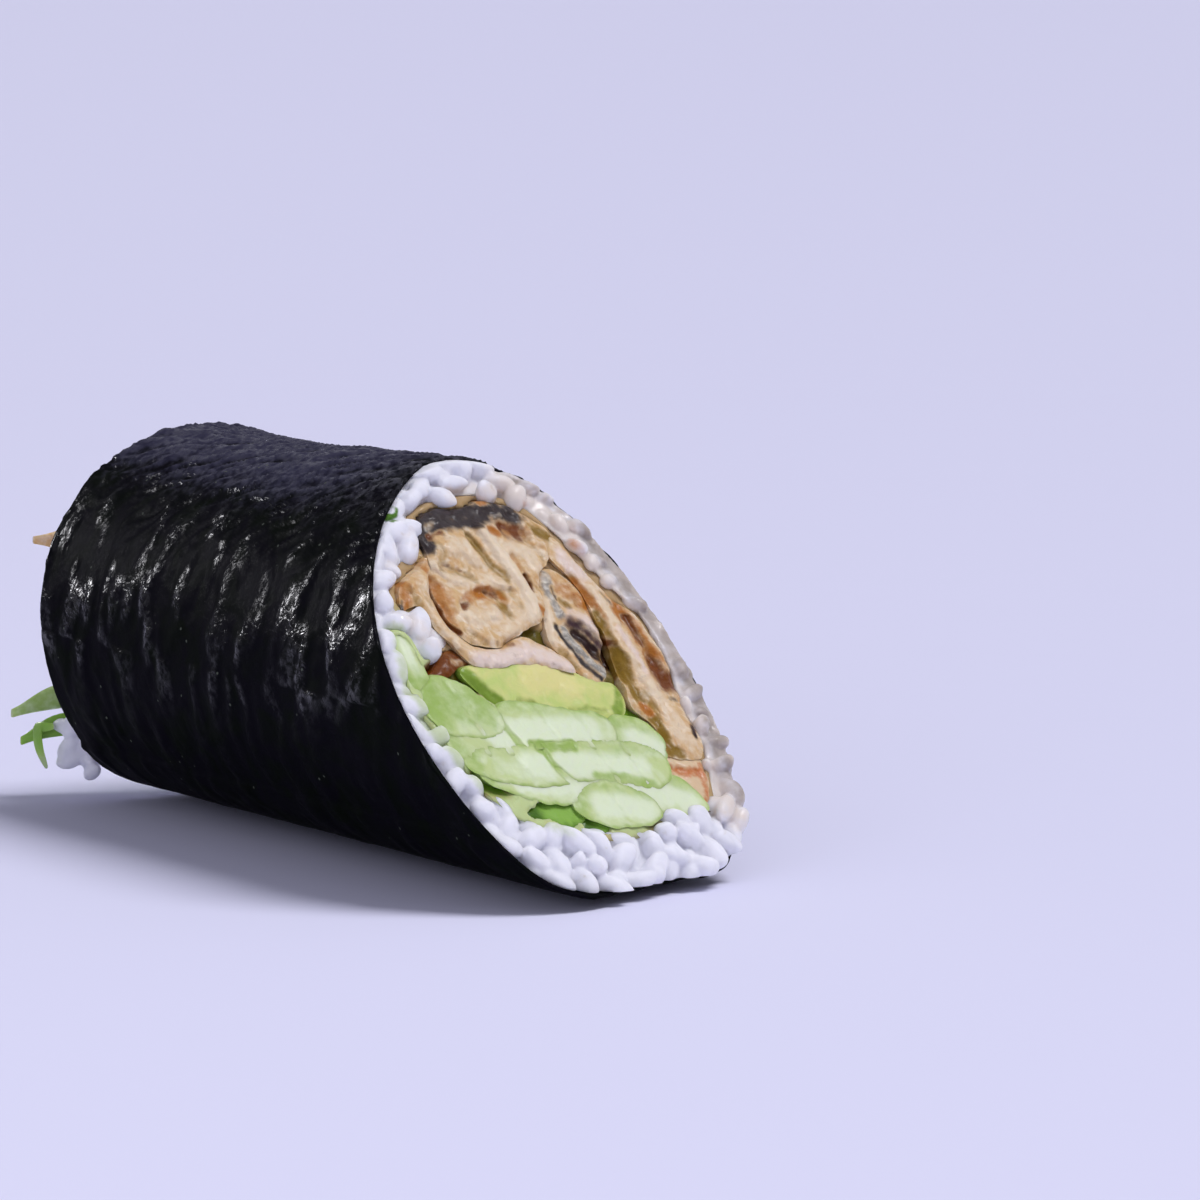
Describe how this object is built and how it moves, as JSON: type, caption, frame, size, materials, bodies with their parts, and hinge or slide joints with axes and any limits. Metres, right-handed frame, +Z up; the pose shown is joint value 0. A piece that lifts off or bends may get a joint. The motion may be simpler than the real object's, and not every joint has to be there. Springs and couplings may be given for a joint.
{
  "type": "eel hand roll",
  "caption": "Slant-cut half of a thick seaweed-wrapped rice roll filled with grilled eel, avocado and cucumber strips, lying on its flattened side.",
  "frame": {"origin": "on the surface it lies on, under the middle of its box", "axes": "+X along the roll towards the slanted cut, +Z up"},
  "size_m": [0.1316, 0.0583, 0.053],
  "materials": {
    "nori": "moist crinkled seaweed sheet, near black with a soft gloss",
    "rice": "cooked glutinous rice, white, moist and slightly see-through",
    "eel": "grilled eel flesh, cream to tan, flaky, glazed with brown sauce",
    "crust": "caramelised eel edge, dark brown, glossy",
    "fish": "cooked fish, pale salmon orange, moist",
    "avocado": "ripe avocado flesh, yellow green, satin",
    "cucumber": "raw cucumber flesh, pale green, wet",
    "peel": "cucumber peel, fresh green, wet"
  },
  "bodies": {
    "root": {"nori_wrap": "nori", "rice": "rice", "eel_roll": "eel", "eel_fold": "eel", "eel_strip": "eel", "eel_slab": "eel", "eel_crust": "crust", "fish_piece": "fish", "avocado": "avocado", "cucumber_01": "cucumber", "cucumber_02": "cucumber", "cucumber_03": "cucumber", "cucumber_04": "cucumber", "cucumber_05": "cucumber", "cucumber_06": "cucumber", "cucumber_07": "cucumber", "cucumber_08": "cucumber", "cucumber_peel_01": "peel", "cucumber_peel_02": "peel"}
  },
  "joints": []
}
